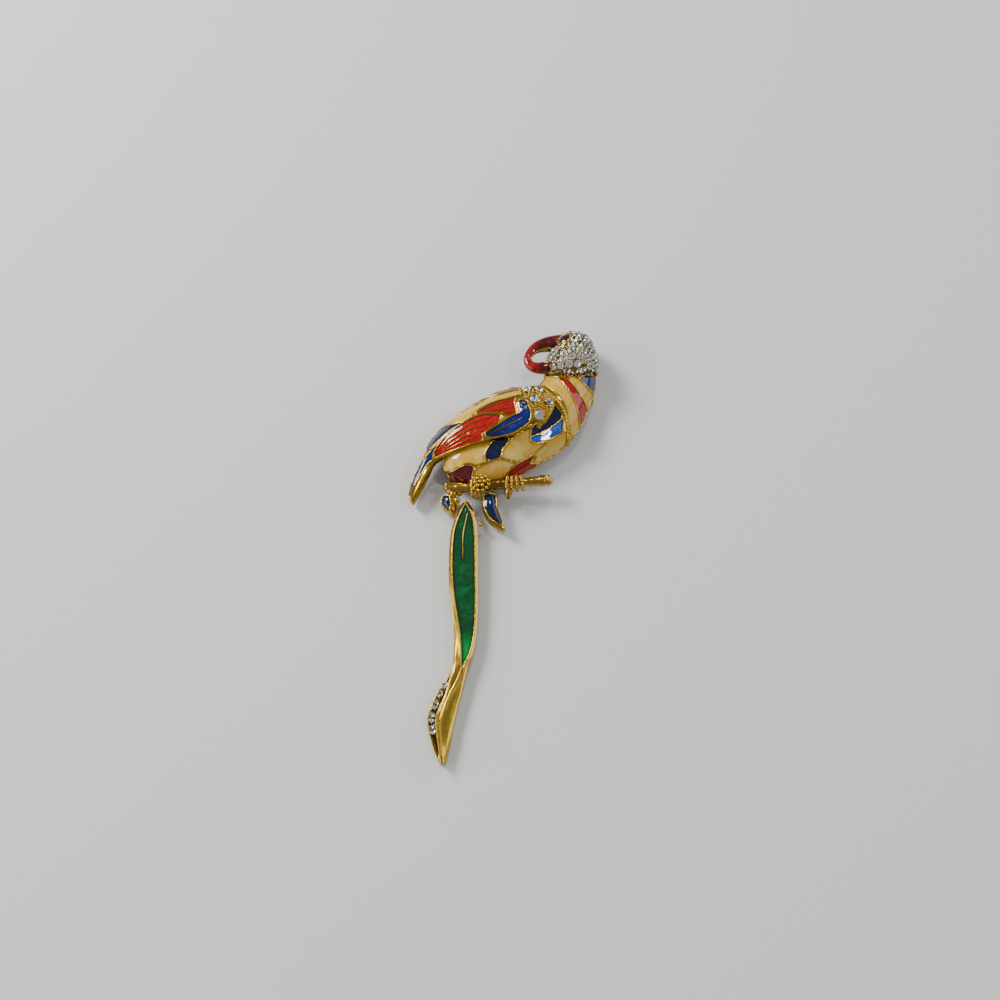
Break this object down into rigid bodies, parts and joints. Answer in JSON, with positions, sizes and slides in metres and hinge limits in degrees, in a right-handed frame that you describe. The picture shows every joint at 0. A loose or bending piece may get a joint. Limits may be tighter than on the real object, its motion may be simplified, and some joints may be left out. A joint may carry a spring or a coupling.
{
  "type": "figural bird brooch",
  "caption": "Gold-tone parrot brooch with coloured enamel, a stone-set head and shoulder, a curved ribbon tail and a pin bar behind.",
  "frame": {"origin": "centre of the bounding box in plan, on the surface that the brooch lies on", "axes": "+Y from the tail's tip towards the head, +Z from the pin at the back out through the enamelled front"},
  "size_m": [0.0452, 0.097, 0.0111],
  "materials": {
    "gold_tone_metal": "polished yellow gold plating over a cast alloy",
    "stone_set_metal": "gold plating closely set with small clear stones",
    "pin_metal": "satin gold plating",
    "clear_stone": "clear faceted glass",
    "cream_enamel": "glossy opaque cream enamel",
    "blue_enamel": "glossy translucent blue enamel",
    "navy_enamel": "glossy dark blue enamel",
    "red_enamel": "glossy translucent red enamel",
    "maroon_enamel": "glossy maroon enamel",
    "green_enamel": "glossy translucent green enamel",
    "eye_enamel": "glossy dark red-brown cabochon"
  },
  "bodies": {
    "root": {"body_casting": "gold_tone_metal", "wing_casting": "gold_tone_metal", "head_pave": "stone_set_metal", "beak": "red_enamel", "eye": "eye_enamel", "shoulder_setting": "gold_tone_metal", "shoulder_stone_1": "clear_stone", "shoulder_stone_2": "clear_stone", "shoulder_stone_3": "clear_stone", "shoulder_stone_4": "clear_stone", "shoulder_stone_5": "clear_stone", "shoulder_stone_6": "clear_stone", "enamel_neck_cream_front": "cream_enamel", "enamel_neck_red": "red_enamel", "enamel_neck_cream_back": "cream_enamel", "enamel_nape_blue": "blue_enamel", "enamel_shoulder_navy": "navy_enamel", "enamel_shoulder_blue": "blue_enamel", "enamel_feather_cream_upper": "cream_enamel", "enamel_feather_cream_front": "cream_enamel", "enamel_feather_red": "red_enamel", "enamel_feather_navy": "navy_enamel", "enamel_feather_cream_middle": "cream_enamel", "enamel_feather_cream_back": "cream_enamel", "enamel_feather_maroon": "maroon_enamel", "enamel_wing_cream": "cream_enamel", "enamel_wing_red_upper": "red_enamel", "enamel_wing_red_lower": "red_enamel", "enamel_wing_blue": "blue_enamel", "enamel_wing_dark": "navy_enamel", "enamel_primary_blue": "blue_enamel", "perch": "gold_tone_metal", "leaf_left_setting": "gold_tone_metal", "enamel_leaf_left": "blue_enamel", "leaf_right_setting": "gold_tone_metal", "enamel_leaf_right": "blue_enamel", "tail_casting": "gold_tone_metal", "enamel_tail_green": "green_enamel", "tail_stone_1": "clear_stone", "tail_stone_2": "clear_stone", "tail_stone_3": "clear_stone", "tail_stone_4": "clear_stone", "tail_stone_5": "clear_stone", "tail_stone_6": "clear_stone", "pin_back": "pin_metal"}
  },
  "joints": []
}
